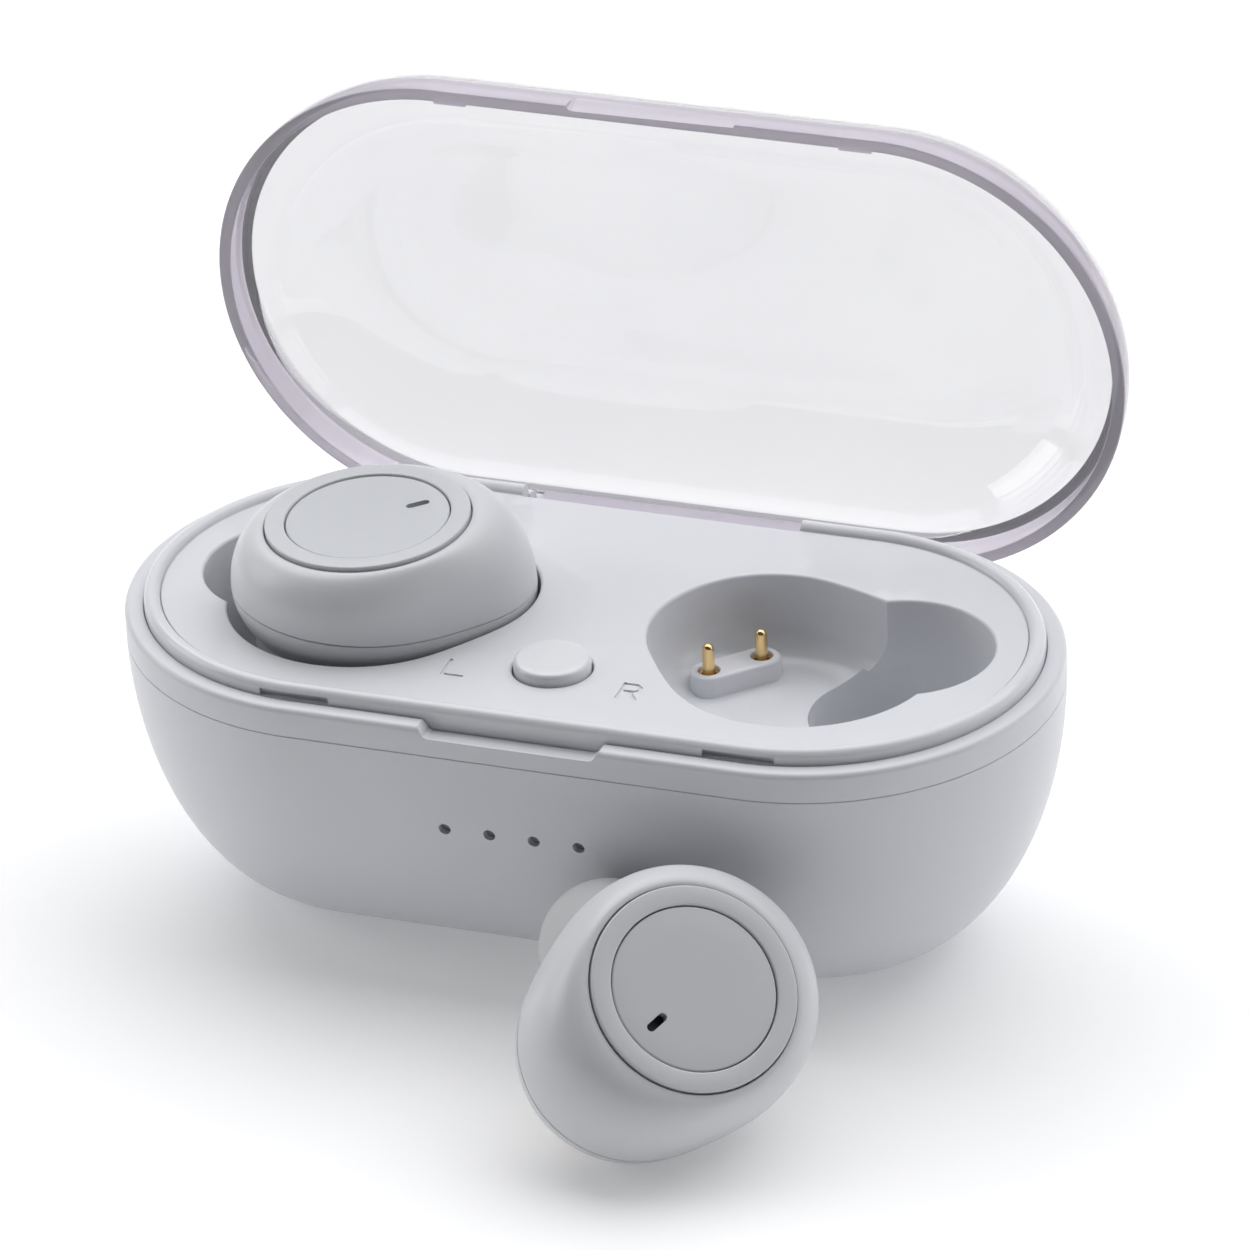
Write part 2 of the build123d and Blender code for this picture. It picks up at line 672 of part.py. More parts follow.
def on_table(part):
    """Lean a right-hand earbud part on the table in front of the case."""
    return Pos(*LOOSE_CENTRE) * Rot(Z=LOOSE_TURN) * Rot(Y=LOOSE_LEAN) * Rot(Z=LOOSE_SPIN) * part


# ---------------------------------------------------------------- build and write every node
CASE_PARTS = {
    "case_shell": make_case_shell,
    "inner_tray": make_inner_tray,
    "hinge_pin": make_hinge_pin,
    "case_button": make_case_button,
    "button_switch": make_button_switch,
    "main_board": make_main_board,
    "board_screws": make_board_screws,
    "battery_cell": make_battery_cell,
    "battery_pad": make_battery_pad,
    "battery_leads": make_battery_leads,
    "charge_socket": make_charge_socket,
    "status_lights": make_status_lights,
    "light_guide": make_light_guide,
    "contact_boards": make_contact_boards,
    "contact_headers": make_contact_headers,
    "pogo_barrels": make_pogo_barrels,
    "pogo_springs": make_pogo_springs,
    "tray_magnets": make_tray_magnets,
}

FREE_TIP_Z = PEDESTAL_TOP_Z + 2.4
PRESSED_TIP_Z = 22.0


def write(name, part):
    solids = part.solids()
    shape = solids[0] if len(solids) == 1 else Compound(children=list(solids))
    shape.label = name
    export_step(shape, f"parts/{name}.step")
    box = shape.bounding_box()
    print(f"{name:24s} {len(solids)} {sum(s.volume for s in solids):9.2f}  z {box.min.Z:7.2f} {box.max.Z:7.2f}")


def main():
    for name, make in CASE_PARTS.items():
        write(name, make())
    write("lid_shell", opened(make_lid_closed()))
    for number, (x, y) in enumerate(pin_positions(), 1):
        write(f"right_pogo_pin_{number}", make_pogo_plunger(x, y, FREE_TIP_Z))
        write(f"left_pogo_pin_{number}", make_pogo_plunger(-x, y, PRESSED_TIP_Z))
    for name, make in BUD_PARTS.items():
        part = make()
        write(f"right_bud_{name}", on_table(part))
        write(f"left_bud_{name}", mirrored(seated(part)))


main()
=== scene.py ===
"""Looks for the wireless earbuds case: a bowl-shaped case, its clear lid and two earbuds.

Shapes are worked out in millimetres and written in metres. Each visible piece is a smooth mesh that
stands for one CAD node; the inner CAD nodes keep their shape and get a material.
"""
import json
import math

import bmesh
import bpy
from mathutils import Matrix, Vector


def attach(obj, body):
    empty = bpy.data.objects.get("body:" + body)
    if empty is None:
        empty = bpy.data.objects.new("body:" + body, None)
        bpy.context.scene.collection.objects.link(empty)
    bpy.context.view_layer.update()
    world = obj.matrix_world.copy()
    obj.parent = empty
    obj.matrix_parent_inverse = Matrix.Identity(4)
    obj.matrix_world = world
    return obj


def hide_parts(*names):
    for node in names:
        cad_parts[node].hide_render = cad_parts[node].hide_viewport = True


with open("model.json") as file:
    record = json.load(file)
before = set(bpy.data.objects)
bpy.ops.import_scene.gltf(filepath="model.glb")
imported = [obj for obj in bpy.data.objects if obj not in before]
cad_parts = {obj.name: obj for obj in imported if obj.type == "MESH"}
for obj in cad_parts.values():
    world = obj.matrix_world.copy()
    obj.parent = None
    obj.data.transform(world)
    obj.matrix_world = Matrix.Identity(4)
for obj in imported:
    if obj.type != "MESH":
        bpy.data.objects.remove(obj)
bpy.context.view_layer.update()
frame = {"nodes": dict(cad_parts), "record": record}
NODES = frame["nodes"]
MM = 0.001

# ---------------------------------------------------------------- sizes, as in the CAD model
END_X = 18.85
END_R = 20.35
LEDGE_Z = 25.4
BELLY_Z = 23.5
CURL = 13.5
MOUTH_R = 18.8
SEAT_Z = 20.8
LIP_OUT = 18.75
LIP_IN = 17.35
LIP_TOP = 26.6
DECK_Z = 26.05
DECK_THICK = 1.45
HINGE_Y = 18.7
HINGE_Z = 22.6
LID_OPEN = 86.0
RIM_Z = 25.5
BUTTON_Y = -9.4
LIGHT_XS = [-0.35 + 3.78 * (n - 1.5) for n in range(4)]
LIGHT_Z = 15.9
INLET_Z = 16.95
PIN_OFFSET = 2.4 * math.sqrt(0.5)
PEDESTAL = (10.67, 4.25)
PINS = [(PEDESTAL[0] + side * PIN_OFFSET, PEDESTAL[1] + side * PIN_OFFSET) for side in (-1, 1)]
TIP = (-3.4, -7.75, -14.6)
LEAN = 38.0
PARTING_W = -6.4
PARTING_TILT = 7.3
SHELL_WALL = 1.8
SEAM_Z = 22.9
LID_HEIGHT = 10.9
LID_WALL = 1.05
LID_BAND = 2.8
POCKET_BIG = (18.71, -2.64, 11.1)    # x, y, radius
POCKET_SMALL = (14.66, 0.52, 9.55)
POCKET_LOBE = (25.96, 0.99, 7.6)
POCKET_TROUGH = (24.4, 1.9, 6.5)
POCKET_FLOOR_Z = 18.85
LOBE_FLOOR_Z = 12.6
POCKET_ROUND = 4.0
AROUND = 160    # points round a full turn


# ---------------------------------------------------------------- mesh helpers
def polar(angle):
    return math.cos(math.radians(angle)), math.sin(math.radians(angle))


def rot(axis, angle):
    return Matrix.Rotation(math.radians(angle), 4, axis)


def shift(x, y, z):
    return Matrix.Translation((x, y, z))


class Solid:
    """A mesh in millimetres, as points and faces."""

    def __init__(self, points=(), faces=()):
        self.points = [tuple(p) for p in points]
        self.faces = [tuple(f) for f in faces]

    def moved(self, matrix):
        points = [tuple(matrix @ Vector(p)) for p in self.points]
        flip = matrix.to_3x3().determinant() < 0
        faces = [tuple(reversed(f)) if flip else f for f in self.faces]
        return Solid(points, faces)

    def joined(self, other):
        n = len(self.points)
        return Solid(self.points + other.points, self.faces + [tuple(i + n for i in f) for f in other.faces])


def rings_solid(rings, closed=False):
    """Quads between rings of equal length; caps at both ends, or joined end to end if closed."""
    n = len(rings[0])
    points = [p for ring in rings for p in ring]
    faces = []
    last = len(rings) if closed else len(rings) - 1
    for k in range(last):
        a, b = k * n, ((k + 1) % len(rings)) * n
        for i in range(n):
            j = (i + 1) % n
            faces.append((a + i, a + j, b + j, b + i))
    if not closed:
        faces.append(tuple(reversed(range(n))))
        faces.append(tuple(range(len(points) - n, len(points))))
    return Solid(points, faces)


def circle(radius, z, n=AROUND, centre=(0.0, 0.0)):
    angles = [2 * math.pi * i / n for i in range(n)]
    return [(centre[0] + radius * math.cos(a), centre[1] + radius * math.sin(a), z) for a in angles]


def revolved(profile, n=AROUND, closed=False):
    """Profile of (radius, height) points turned about Z."""
    return rings_solid([circle(max(r, 1e-4), z, n) for r, z in profile], closed)


def stadium(offset, z, ends=72, straight=14):
    """Outline at one height, offset from the case's centre line."""
    ring = []
    for i in range(ends + 1):
        c, s = polar(-90 + 180 * i / ends)
        ring.append((END_X + offset * c, offset * s, z))
    for i in range(1, straight):
        ring.append((END_X - 2 * END_X * i / straight, offset, z))
    for i in range(ends + 1):
        c, s = polar(90 + 180 * i / ends)
        ring.append((-END_X + offset * c, offset * s, z))
    for i in range(1, straight):
        ring.append((-END_X + 2 * END_X * i / straight, -offset, z))
    return ring


def box(x0, x1, y0, y1, z0, z1):
    p = [(x, y, z) for z in (z0, z1) for y in (y0, y1) for x in (x0, x1)]
    f = [(0, 2, 3, 1), (4, 5, 7, 6), (0, 1, 5, 4), (2, 6, 7, 3), (0, 4, 6, 2), (1, 3, 7, 5)]
    return Solid(p, f)


def prism(outline, low, high):
    """A flat outline of (x, y) points drawn up from low to high."""
    return rings_solid([[(x, y, low) for x, y in outline], [(x, y, high) for x, y in outline]])


def slot_outline(half_length, radius, n=24):
    """Outline of a slot with round ends."""
    right = [(half_length + radius * polar(-90 + 180 * i / n)[0], radius * polar(-90 + 180 * i / n)[1])
             for i in range(n + 1)]
    left = [(-half_length + radius * polar(90 + 180 * i / n)[0], radius * polar(90 + 180 * i / n)[1])
            for i in range(n + 1)]
    return right + left


def arc_points(centre, radius, start, end, steps):
    return [(centre[0] + radius * polar(start + (end - start) * i / steps)[0],
             centre[1] + radius * polar(start + (end - start) * i / steps)[1]) for i in range(steps + 1)]


def smooth_loop(points, per=6, closed=True):
    """Catmull-Rom curve through the points."""
    out, n = [], len(points)
    for i in range(n if closed else n - 1):
        pick = [points[(i + k) % n] if closed else points[min(max(i + k, 0), n - 1)] for k in (-1, 0, 1, 2)]
        for s in range(per):
            t = s / per
            out.append(tuple(
                0.5 * (2 * pick[1][a] + (pick[2][a] - pick[0][a]) * t
                       + (2 * pick[0][a] - 5 * pick[1][a] + 4 * pick[2][a] - pick[3][a]) * t * t
                       + (3 * pick[1][a] - pick[0][a] - 3 * pick[2][a] + pick[3][a]) * t ** 3)
                for a in range(2)))
    if not closed:
        out.append(tuple(points[-1]))
    return out


def make_object(name, solid, scale=MM):
    mesh = bpy.data.meshes.new(name)
    mesh.from_pydata([[c * scale for c in p] for p in solid.points], [], [list(f) for f in solid.faces])
    bm = bmesh.new()
    bm.from_mesh(mesh)
    bmesh.ops.remove_doubles(bm, verts=bm.verts, dist=1e-4 * scale)
    bmesh.ops.recalc_face_normals(bm, faces=bm.faces)
    bm.to_mesh(mesh)
    bm.free()
    obj = bpy.data.objects.new(name, mesh)
    bpy.context.scene.collection.objects.link(obj)
    return obj


def combine(target, tools, operation="DIFFERENCE"):
    """Apply boolean tools to an object that is still in millimetres."""
    for solid in tools:
        tool = make_object("tool", solid, 1.0) if isinstance(solid, Solid) else solid
        mod = target.modifiers.new("cut", "BOOLEAN")
        mod.operation, mod.solver, mod.object = operation, "EXACT", tool
        bpy.context.view_layer.update()
        graph = bpy.context.evaluated_depsgraph_get()
        mesh = bpy.data.meshes.new_from_object(target.evaluated_get(graph))
        target.modifiers.clear()
        old = target.data
        target.data = mesh
        bpy.data.meshes.remove(old)
        tool_mesh = tool.data
        bpy.data.objects.remove(tool)
        bpy.data.meshes.remove(tool_mesh)
    return target


def united(solids):
    """One object from several solids that overlap."""
    return combine(make_object("united", solids[0], 1.0), solids[1:], "UNION")


def finish_piece(obj, body, nodes, material, sharp=35.0, scale=1.0):
    """Shade, scale, paint and hand a piece to its body."""
    if scale != 1.0:
        obj.data.transform(Matrix.Scale(scale, 4))
    obj.data.shade_smooth()
    obj.data.set_sharp_from_angle(angle=math.radians(sharp))
    obj.data.materials.clear()
    obj.data.materials.append(material)
    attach(obj, body)
    if nodes:
        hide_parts(*nodes)
    return obj


# ---------------------------------------------------------------- materials
def base_material(name):
    material = bpy.data.materials.new(name)
    material.use_nodes = True
    nodes, links = material.node_tree.nodes, material.node_tree.links
    shader = nodes["Principled BSDF"]
    place = nodes.new("ShaderNodeTexCoord")
    return material, nodes, links, shader, place


def noise(nodes, links, place, scale, detail=3.0, rough=0.5):
    """Noise texture in object coordinates."""
    texture = nodes.new("ShaderNodeTexNoise")
    texture.inputs["Scale"].default_value = scale
    texture.inputs["Detail"].default_value = detail
    texture.inputs["Roughness"].default_value = rough
    links.new(place.outputs["Object"], texture.inputs["Vector"])
    return texture


def ramp(nodes, links, source, low, high, a=0.3, b=0.7):
    """Colour ramp from low to high."""
    node = nodes.new("ShaderNodeValToRGB")
    node.color_ramp.elements[0].position, node.color_ramp.elements[1].position = a, b
    node.color_ramp.elements[0].color = (*low, 1)
    node.color_ramp.elements[1].color = (*high, 1)
    links.new(source, node.inputs["Fac"])
    return node


def add_bump(nodes, links, shader, height, strength, distance):
    bump = nodes.new("ShaderNodeBump")
    bump.inputs["Strength"].default_value = strength
    bump.inputs["Distance"].default_value = distance
    links.new(height, bump.inputs["Height"])
    links.new(bump.outputs["Normal"], shader.inputs["Normal"])
    return bump


def moulded(name, color, rough, grain=5200.0, bump=0.25, coat=0.0, spread=0.06, tint=0.015, metallic=0.0):
    """Moulded plastic, or plated metal: faint cloudiness, fine grain and uneven polish."""
    material, nodes, links, shader, place = base_material(name)
    cloud = noise(nodes, links, place, 60.0, 4.0)
    lower = tuple(max(0.0, c * (1 - tint)) for c in color)
    upper = tuple(min(1.0, c * (1 + tint)) for c in color)
    tone = ramp(nodes, links, cloud.outputs["Fac"], lower, upper)
    links.new(tone.outputs["Color"], shader.inputs["Base Color"])
    patch = noise(nodes, links, place, 1400.0, 4.0, 0.5)
    span = nodes.new("ShaderNodeMapRange")
    span.inputs["From Min"].default_value, span.inputs["From Max"].default_value = 0.3, 0.7
    span.inputs["To Min"].default_value = max(0.02, rough - spread)
    span.inputs["To Max"].default_value = min(1.0, rough + spread)
    links.new(patch.outputs["Fac"], span.inputs["Value"])
    links.new(span.outputs["Result"], shader.inputs["Roughness"])
    fine = noise(nodes, links, place, grain, 2.0)
    add_bump(nodes, links, shader, fine.outputs["Fac"], bump, 0.00001)
    shader.inputs["Metallic"].default_value = metallic
    shader.inputs["Coat Weight"].default_value = coat
    shader.inputs["Coat Roughness"].default_value = 0.06
    return material


def clear_plastic(name):
    """Clear plastic, a little milky; the band above the lid's rim is painted a lilac grey and lets less light
    through, as painted light for the glow of the thick rim edge.
    """
    material, nodes, links, shader, place = base_material(name)
    cloud = noise(nodes, links, place, 35.0, 2.0)
    tone = ramp(nodes, links, cloud.outputs["Fac"], (0.76, 0.76, 0.775), (0.785, 0.785, 0.795))
    haze = noise(nodes, links, place, 900.0, 5.0, 0.7)
    span = nodes.new("ShaderNodeMapRange")
    span.inputs["From Min"].default_value, span.inputs["From Max"].default_value = 0.45, 0.8
    span.inputs["To Min"].default_value, span.inputs["To Max"].default_value = 0.012, 0.05
    links.new(haze.outputs["Fac"], span.inputs["Value"])
    links.new(span.outputs["Result"], shader.inputs["Roughness"])
    height = nodes.new("ShaderNodeVectorMath")
    height.operation = "DOT_PRODUCT"
    c, s = polar(LID_OPEN)
    height.inputs[1].default_value = (0.0, s, c)
    links.new(place.outputs["Object"], height.inputs[0])
    rim = RIM_Z - HINGE_Z + s * HINGE_Y + c * HINGE_Z
    # Painted light: inside the rim band the transmission drops to 0.52 and the base colour becomes a flat
    # lilac grey, standing in for the glow of the thick rim edge.
    painted_rim_fade = []
    for low, high in ((0.52, 0.95), (0.0, 1.0)):
        fade = nodes.new("ShaderNodeMapRange")
        fade.inputs["From Min"].default_value = (rim + 2.5) * MM
        fade.inputs["From Max"].default_value = (rim + 3.1) * MM
        fade.inputs["To Min"].default_value, fade.inputs["To Max"].default_value = low, high
        links.new(height.outputs["Value"], fade.inputs["Value"])
        painted_rim_fade.append(fade.outputs["Result"])
    links.new(painted_rim_fade[0], shader.inputs["Transmission Weight"])
    mixed = nodes.new("ShaderNodeMix")
    mixed.data_type = "RGBA"
    # Flat lilac grey of the rim band: painted light for the glow of the thick rim edge.
    mixed.inputs["A"].default_value = (0.66, 0.625, 0.69, 1)
    links.new(painted_rim_fade[1], mixed.inputs["Factor"])
    links.new(tone.outputs["Color"], mixed.inputs["B"])
    links.new(mixed.outputs["Result"], shader.inputs["Base Color"])
    shader.inputs["IOR"].default_value = 1.49
    absorb = nodes.new("ShaderNodeVolumeAbsorption")
    absorb.inputs["Color"].default_value = (0.66, 0.58, 0.70, 1)
    absorb.inputs["Density"].default_value = 7.0
    links.new(absorb.outputs["Volume"], nodes["Material Output"].inputs["Volume"])
    return material


def silicone_material(name):
    """Soft translucent rubber."""
    material, nodes, links, shader, place = base_material(name)
    cloud = noise(nodes, links, place, 120.0, 3.0)
    tone = ramp(nodes, links, cloud.outputs["Fac"], (0.80, 0.81, 0.83), (0.88, 0.885, 0.895))
    links.new(tone.outputs["Color"], shader.inputs["Base Color"])
    fine = noise(nodes, links, place, 2600.0, 3.0)
    add_bump(nodes, links, shader, fine.outputs["Fac"], 0.2, 0.00002)
    shader.inputs["Roughness"].default_value = 0.42
    shader.inputs["Subsurface Weight"].default_value = 0.45
    shader.inputs["Subsurface Radius"].default_value = (0.0025, 0.0025, 0.0026)
    shader.inputs["Subsurface Scale"].default_value = 1.0
    shader.inputs["Transmission Weight"].default_value = 0.35
    shader.inputs["IOR"].default_value = 1.41
    return material


def board_material(name):
    """Green solder mask with faint tracks below it."""
    material, nodes, links, shader, place = base_material(name)
    brick = nodes.new("ShaderNodeTexBrick")
    brick.inputs["Scale"].default_value = 260.0
    brick.inputs["Color1"].default_value = (0.02, 0.16, 0.08, 1)
    brick.inputs["Color2"].default_value = (0.025, 0.19, 0.095, 1)
    brick.inputs["Mortar"].default_value = (0.06, 0.30, 0.16, 1)
    brick.inputs["Mortar Size"].default_value = 0.03
    links.new(place.outputs["Object"], brick.inputs["Vector"])
    links.new(brick.outputs["Color"], shader.inputs["Base Color"])
    fine = noise(nodes, links, place, 1800.0, 3.0)
    add_bump(nodes, links, shader, fine.outputs["Fac"], 0.3, 0.00002)
    shader.inputs["Roughness"].default_value = 0.38
    return material


def brushed(name, color, rough=0.28, stretch=12.0):
    """Metal with fine lines along one way."""
    material, nodes, links, shader, place = base_material(name)
    mapping = nodes.new("ShaderNodeMapping")
    mapping.inputs["Scale"].default_value = (1.0, 1.0, stretch)
    links.new(place.outputs["Object"], mapping.inputs["Vector"])
    lines = nodes.new("ShaderNodeTexNoise")
    lines.inputs["Scale"].default_value, lines.inputs["Detail"].default_value = 900.0, 6.0
    links.new(mapping.outputs["Vector"], lines.inputs["Vector"])
    low = tuple(c * 0.9 for c in color)
    tone = ramp(nodes, links, lines.outputs["Fac"], low, color)
    links.new(tone.outputs["Color"], shader.inputs["Base Color"])
    add_bump(nodes, links, shader, lines.outputs["Fac"], 0.25, 0.00001)
    shader.inputs["Metallic"].default_value = 1.0
    shader.inputs["Roughness"].default_value = rough
    return material


MATERIALS = {
    "shell_plastic": moulded("shell_plastic", (0.665, 0.675, 0.71), 0.34, bump=0.2, spread=0.03),
    "tray_plastic": moulded("tray_plastic", (0.70, 0.71, 0.74), 0.15, bump=0.04, spread=0.03),
    "clear_plastic": clear_plastic("clear_plastic"),
    "steel": brushed("steel", (0.62, 0.62, 0.63)),
    "button_plastic": moulded("button_plastic", (0.72, 0.73, 0.755), 0.2, bump=0.08, coat=0.2, spread=0.03),
    "dark_plastic": moulded("dark_plastic", (0.035, 0.035, 0.04), 0.45),
    "board_green": board_material("board_green"),
    "battery_wrap": brushed("battery_wrap", (0.60, 0.61, 0.64), 0.38, 3.0),
    "foam": moulded("foam", (0.06, 0.06, 0.065), 0.85, grain=1500.0, bump=1.0),
    "wire_red": moulded("wire_red", (0.52, 0.04, 0.03), 0.42),
    "light_white": moulded("light_white", (0.85, 0.85, 0.80), 0.25, coat=0.5),
    "guide_clear": moulded("guide_clear", (0.30, 0.31, 0.33), 0.3, coat=0.3),
    "contact_gold": moulded("contact_gold", (0.83, 0.60, 0.30), 0.2, metallic=1.0, bump=0.1, tint=0.05),
    "magnet_metal": brushed("magnet_metal", (0.50, 0.50, 0.52), 0.3),
    "bud_plastic": moulded("bud_plastic", (0.63, 0.64, 0.665), 0.32, bump=0.05, spread=0.015),
    "bud_ring": moulded("bud_ring", (0.58, 0.59, 0.615), 0.36, bump=0.06, spread=0.02),
    "bud_button": moulded("bud_button", (0.55, 0.565, 0.59), 0.42, bump=0.1, spread=0.02),
    "bud_inner_plastic": moulded("bud_inner_plastic", (0.60, 0.61, 0.625), 0.32, bump=0.05, spread=0.015),
    "silicone": silicone_material("silicone"),
    "battery_can": brushed("battery_can", (0.66, 0.66, 0.67), 0.25, 6.0),
}
for entry in frame["record"]["subparts"]:
    node = NODES.get(entry["node"])
    if node is not None:
        node.data.materials.clear()
        node.data.materials.append(MATERIALS[entry["material_slot"]])


# ---------------------------------------------------------------- the bowl
def bowl_outer(steps=44):
    """Side profile from the flat underside up to the mouth, with the fine seam line."""
    profile = [(3.4, 0.0)]
    for i in range(steps + 1):
        c, s = polar(90 * i / steps)
        profile.append((END_R - CURL + CURL * s, BELLY_Z * (1 - c)))
    line = SEAM_Z
    rise = 1 - line / BELLY_Z
    surface = END_R - CURL + CURL * math.sqrt(1 - rise * rise)
    below = [p for p in profile if p[1] < line - 0.12]
    above = [p for p in profile if p[1] > line + 0.12]
    groove = [(surface - 0.003, line - 0.075), (surface - 0.09, line - 0.03), (surface - 0.09, line + 0.03),
              (surface, line + 0.075)]
    top = arc_points((END_R - 0.5, LEDGE_Z - 0.5), 0.5, 0, 90, 6)
    mouth = arc_points((MOUTH_R + 0.15, LEDGE_Z - 0.15), 0.15, 90, 180, 3)
    return below + groove + above + top + mouth


def make_bowl():
    """The bowl, its ears, trough, notch, light holes and inlet."""
    outer = bowl_outer()
    wall = SHELL_WALL
    inner = [(MOUTH_R, SEAT_Z), (END_R - wall, SEAT_Z)]
    for i in range(24, -1, -1):
        c, s = polar(90 * i / 24)
        z = BELLY_Z - (BELLY_Z - wall) * c
        if z < SEAT_Z - 0.2:
            inner.append((END_R - CURL + (CURL - wall) * s, z))
    inner.append((3.4, wall))
    bowl = make_object("bowl", rings_solid([stadium(r, z) for r, z in outer + inner]), 1.0)
    combine(bowl, [box(-14.4, 14.4, 15.95, 19.4, 19.5, 24.5)], "UNION")
    trough = box(-12.0, 12.0, 16.95, 23.0, HINGE_Z - 1.72, 40.0)
    swing = 2.83
    ease = [(0.5 + 0.1 * i, math.sqrt(swing ** 2 - (0.5 + 0.1 * i) ** 2)) for i in range(21)]
    ease += [(4.0, 2.2), (4.0, 6.0), (0.5, 6.0)]
    along_x = Matrix(((0, 0, 1, 0), (1, 0, 0, 0), (0, 1, 0, 0), (0, 0, 0, 1)))
    ease = prism(ease, -27.5, 27.5).moved(shift(0, HINGE_Y, HINGE_Z) @ along_x)
    pin_hole = revolved([(0.77, -14.5), (0.77, 14.5)], 48).moved(shift(0, HINGE_Y, HINGE_Z) @ rot("Y", 90))
    outline = [(-7.9, LEDGE_Z + 1), (-7.75, LEDGE_Z + 0.05), (-7.45, LEDGE_Z - 0.25), (-7.15, LEDGE_Z - 0.75),
               (-6.8, LEDGE_Z - 0.92), (6.8, LEDGE_Z - 0.92), (7.15, LEDGE_Z - 0.75), (7.45, LEDGE_Z - 0.25),
               (7.75, LEDGE_Z + 0.05), (7.9, LEDGE_Z + 1)]
    notch = prism(outline, 0, 4).moved(shift(0, -MOUTH_R + 0.1, 0) @ rot("X", 90))
    cutters = [trough, pin_hole, notch, ease]
    for x in LIGHT_XS:
        hole = revolved([(0.5, 0.0), (0.5, 3.05), (0.56, 3.2), (0.9, 3.6)], 40)
        cutters.append(hole.moved(shift(x, -16.55, LIGHT_Z) @ rot("X", 90)))
    inlet = prism(slot_outline(2.95, 1.8), 0, 6).moved(shift(0, 23.0, INLET_Z) @ rot("X", 90))
    cutters.append(inlet)
    combine(bowl, cutters)
    return finish_piece(bowl, "case", ["case_shell"], MATERIALS["shell_plastic"], 32.0, MM)


# ---------------------------------------------------------------- the tray
def egg_points(u1, r1, u2, r2, n=AROUND, soft=4.0):
    """Outline round two circles on the X axis, with the joints eased, as (x, y) by outward angle."""
    out = []
    for i in range(n):
        angle = 2 * math.pi * i / n
        c, s = math.cos(angle), math.sin(angle)
        a, b = r1 + u1 * c, r2 + u2 * c
        top = max(a, b)
        ea, eb = math.exp(soft * (a - top)), math.exp(soft * (b - top))
        h = top + math.log(ea + eb) / soft
        slope = -(u1 * ea + u2 * eb) / (ea + eb) * s
        out.append((h * c - slope * s, h * s + slope * c))
    return out


def well(outline_at, floor, top, rounding, flare=0.28):
    """A pocket's space: rounded at the floor, eased out at the deck."""
    rings = []
    for i in range(13):
        c, s = polar(90 * i / 12)
        rings.append(outline_at(-rounding * (1 - s), floor + rounding * (1 - c)))
    if top > floor + rounding + 1 and flare:
        rings.append(outline_at(0.0, DECK_Z - flare - 1.2))
        for i in range(7):
            c, s = polar(90 * i / 6)
            rings.append(outline_at(flare * (1 - c), DECK_Z - flare + flare * s))
        rings.append(outline_at(flare + 0.02, DECK_Z + 2))
    else:
        rings.append(outline_at(0.0, top))
    return rings_solid(rings)


def pocket_parts(grow, floor_shift, flare, top):
    """The right pocket's main well, its lobe and the trough that the lobe runs on in."""
    big_x, big_y, big_r = POCKET_BIG
    small_x, small_y, small_r = POCKET_SMALL
    place = shift(big_x, big_y, 0) @ rot("Z", math.degrees(math.atan2(small_y - big_y, small_x - big_x)))

    def main_ring(offset, z):
        pts = egg_points(0.0, big_r + grow + offset, 5.137, small_r + grow + offset, 128, 6.0)
        return [tuple(place @ Vector((x, y, z))) for x, y in pts]

    def lobe_ring(offset, z):
        return circle(POCKET_LOBE[2] + grow + offset, z, 112, POCKET_LOBE[:2])

    def trough_ring(offset, z):
        return circle(POCKET_TROUGH[2] + grow + offset, z, 96, POCKET_TROUGH[:2])

    rounding = POCKET_ROUND + grow
    return [
        well(main_ring, POCKET_FLOOR_Z + floor_shift, top, rounding, flare),
        well(lobe_ring, LOBE_FLOOR_Z + floor_shift, top, rounding, flare),
        well(trough_ring, LOBE_FLOOR_Z + floor_shift, POCKET_FLOOR_Z + 1, rounding, 0),
    ]


def letter_bars():
    """Strokes of the letters L and R, as slots."""
    bars = []
    strokes = [(-8.3, -10.3, -8.3, -12.6), (-8.3, -12.6, -6.6, -12.6),
               (6.5, -10.3, 6.5, -12.6), (6.5, -10.35, 7.55, -10.35), (7.55, -10.35, 7.95, -10.7),
               (7.95, -10.7, 7.95, -11.15), (7.95, -11.15, 7.55, -11.45), (6.5, -11.45, 7.55, -11.45),
               (7.2, -11.45, 8.05, -12.6)]
    for x0, y0, x1, y1 in strokes:
        length = math.hypot(x1 - x0, y1 - y0)
        angle = math.degrees(math.atan2(y1 - y0, x1 - x0))
        bar = prism(slot_outline(length / 2, 0.15, 10), DECK_Z - 0.16, DECK_Z + 1)
        bars.append(bar.moved(shift((x0 + x1) / 2, (y0 + y1) / 2, 0) @ rot("Z", angle)))
    return bars


MIRROR = Matrix.Scale(-1, 4, (1, 0, 0))


